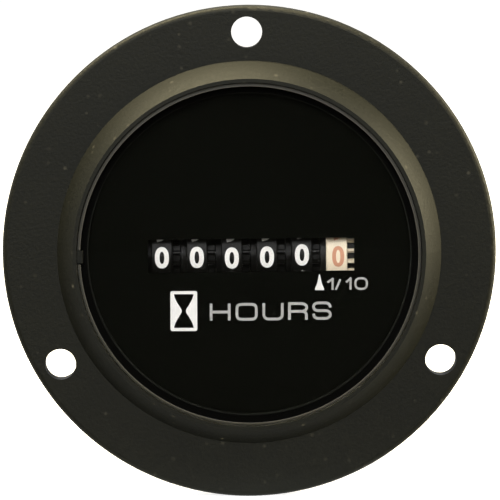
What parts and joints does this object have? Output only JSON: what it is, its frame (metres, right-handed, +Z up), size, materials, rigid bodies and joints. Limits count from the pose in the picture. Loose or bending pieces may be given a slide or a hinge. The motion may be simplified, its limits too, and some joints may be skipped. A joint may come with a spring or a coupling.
{
  "type": "hour meter",
  "caption": "Round panel hour meter: screw flange, raised bezel, clear lens, black dial with a geared number-wheel counter, and blade terminals at the back.",
  "frame": {"origin": "centre of the screw-hole circle in the plane of the flange's back face, where the meter meets its panel", "axes": "+X to the viewer's right, +Z up, -Y out of the dial toward the viewer, +Y through the panel along the barrel"},
  "size_m": [0.072, 0.0479, 0.072],
  "materials": {
    "black_moulding": "fine grained, satin",
    "clear_lens": "clear, polished",
    "gasket_rubber": "matt",
    "dial_black": "matt black with white print",
    "wheel_black": "satin black with white digits",
    "wheel_cream": "satin cream with red digits",
    "frame_grey": "moulded",
    "natural_plastic": "unpigmented moulding",
    "steel": "bright",
    "magnet": "sintered, dark grey",
    "bobbin_plastic": "moulded, off-white",
    "copper_wire": "enamelled copper wire",
    "board_green": "solder resist on glass laminate",
    "chip_black": "moulded epoxy",
    "capacitor_sleeve": "shrink sleeve",
    "resistor_coat": "lacquer",
    "terminal_brass": "bright"
  },
  "bodies": {
    "meter": {"front_housing": "black_moulding", "rear_case": "black_moulding", "lens": "clear_lens", "lens_gasket": "gasket_rubber", "dial_plate": "dial_black", "movement_frame": "frame_grey", "gear_plate": "natural_plastic", "wheel_shaft": "steel", "pinion_shaft": "steel", "stator": "steel", "coil_core": "steel", "coil_pins": "steel", "motor_screws": "steel", "movement_screws": "steel", "quartz_crystal": "steel", "coil_bobbin": "bobbin_plastic", "coil_winding": "copper_wire", "circuit_board": "board_green", "controller_chip": "chip_black", "protection_diode": "chip_black", "smoothing_capacitor": "capacitor_sleeve", "dropper_resistor": "resistor_coat", "terminal_plus": "terminal_brass", "terminal_minus": "terminal_brass"},
    "wheel_tenths": {"wheel_tenths": "wheel_cream"},
    "wheel_units": {"wheel_units": "wheel_black"},
    "wheel_tens": {"wheel_tens": "wheel_black"},
    "wheel_hundreds": {"wheel_hundreds": "wheel_black"},
    "wheel_thousands": {"wheel_thousands": "wheel_black"},
    "wheel_ten_thousands": {"wheel_ten_thousands": "wheel_black"},
    "pinion_units": {"pinion_units": "natural_plastic"},
    "pinion_tens": {"pinion_tens": "natural_plastic"},
    "pinion_hundreds": {"pinion_hundreds": "natural_plastic"},
    "pinion_thousands": {"pinion_thousands": "natural_plastic"},
    "pinion_ten_thousands": {"pinion_ten_thousands": "natural_plastic"},
    "output_gear": {"output_gear": "natural_plastic"},
    "idler_gear": {"idler_gear": "natural_plastic"},
    "rotor": {"rotor_pinion": "natural_plastic", "rotor_magnet": "magnet"}
  },
  "joints": [
    {"name": "wheel_tenths_spin", "type": "hinge", "parent": "meter", "child": "wheel_tenths", "pos_m": [0, 0.0044, -0.0008], "axis": [-1, 0, 0], "continuous": true},
    {"name": "wheel_units_spin", "type": "hinge", "parent": "meter", "child": "wheel_units", "pos_m": [0, 0.0044, -0.0008], "axis": [-1, 0, 0], "continuous": true},
    {"name": "wheel_tens_spin", "type": "hinge", "parent": "meter", "child": "wheel_tens", "pos_m": [0, 0.0044, -0.0008], "axis": [-1, 0, 0], "continuous": true},
    {"name": "wheel_hundreds_spin", "type": "hinge", "parent": "meter", "child": "wheel_hundreds", "pos_m": [0, 0.0044, -0.0008], "axis": [-1, 0, 0], "continuous": true},
    {"name": "wheel_thousands_spin", "type": "hinge", "parent": "meter", "child": "wheel_thousands", "pos_m": [0, 0.0044, -0.0008], "axis": [-1, 0, 0], "continuous": true},
    {"name": "wheel_ten_thousands_spin", "type": "hinge", "parent": "meter", "child": "wheel_ten_thousands", "pos_m": [0, 0.0044, -0.0008], "axis": [-1, 0, 0], "continuous": true},
    {"name": "pinion_units_spin", "type": "hinge", "parent": "meter", "child": "pinion_units", "pos_m": [0, 0.00935, -0.00575], "axis": [-1, 0, 0], "continuous": true},
    {"name": "pinion_tens_spin", "type": "hinge", "parent": "meter", "child": "pinion_tens", "pos_m": [0, 0.00935, -0.00575], "axis": [-1, 0, 0], "continuous": true},
    {"name": "pinion_hundreds_spin", "type": "hinge", "parent": "meter", "child": "pinion_hundreds", "pos_m": [0, 0.00935, -0.00575], "axis": [-1, 0, 0], "continuous": true},
    {"name": "pinion_thousands_spin", "type": "hinge", "parent": "meter", "child": "pinion_thousands", "pos_m": [0, 0.00935, -0.00575], "axis": [-1, 0, 0], "continuous": true},
    {"name": "pinion_ten_thousands_spin", "type": "hinge", "parent": "meter", "child": "pinion_ten_thousands", "pos_m": [0, 0.00935, -0.00575], "axis": [-1, 0, 0], "continuous": true},
    {"name": "output_gear_spin", "type": "hinge", "parent": "meter", "child": "output_gear", "pos_m": [0, 0.00881, 0.00527], "axis": [-1, 0, 0], "continuous": true},
    {"name": "idler_gear_spin", "type": "hinge", "parent": "meter", "child": "idler_gear", "pos_m": [0, 0.01179, -0.00084], "axis": [-1, 0, 0], "continuous": true},
    {"name": "rotor_spin", "type": "hinge", "parent": "meter", "child": "rotor", "pos_m": [0, 0.01855, -0.00013], "axis": [-1, 0, 0], "continuous": true}
  ],
  "couplings": [
    {"joint": "wheel_units_spin", "follows": "wheel_tenths_spin", "ratio": 0.1},
    {"joint": "wheel_tens_spin", "follows": "wheel_tenths_spin", "ratio": 0.01},
    {"joint": "wheel_hundreds_spin", "follows": "wheel_tenths_spin", "ratio": 0.001},
    {"joint": "wheel_thousands_spin", "follows": "wheel_tenths_spin", "ratio": 0.0001},
    {"joint": "wheel_ten_thousands_spin", "follows": "wheel_tenths_spin", "ratio": 0.00001},
    {"joint": "pinion_units_spin", "follows": "wheel_tenths_spin", "ratio": -0.25},
    {"joint": "pinion_tens_spin", "follows": "wheel_tenths_spin", "ratio": -0.025},
    {"joint": "pinion_hundreds_spin", "follows": "wheel_tenths_spin", "ratio": -0.0025},
    {"joint": "pinion_thousands_spin", "follows": "wheel_tenths_spin", "ratio": -0.00025},
    {"joint": "pinion_ten_thousands_spin", "follows": "wheel_tenths_spin", "ratio": -0.000025},
    {"joint": "output_gear_spin", "follows": "wheel_tenths_spin", "ratio": -2},
    {"joint": "idler_gear_spin", "follows": "wheel_tenths_spin", "ratio": 15},
    {"joint": "rotor_spin", "follows": "wheel_tenths_spin", "ratio": -112.5}
  ]
}
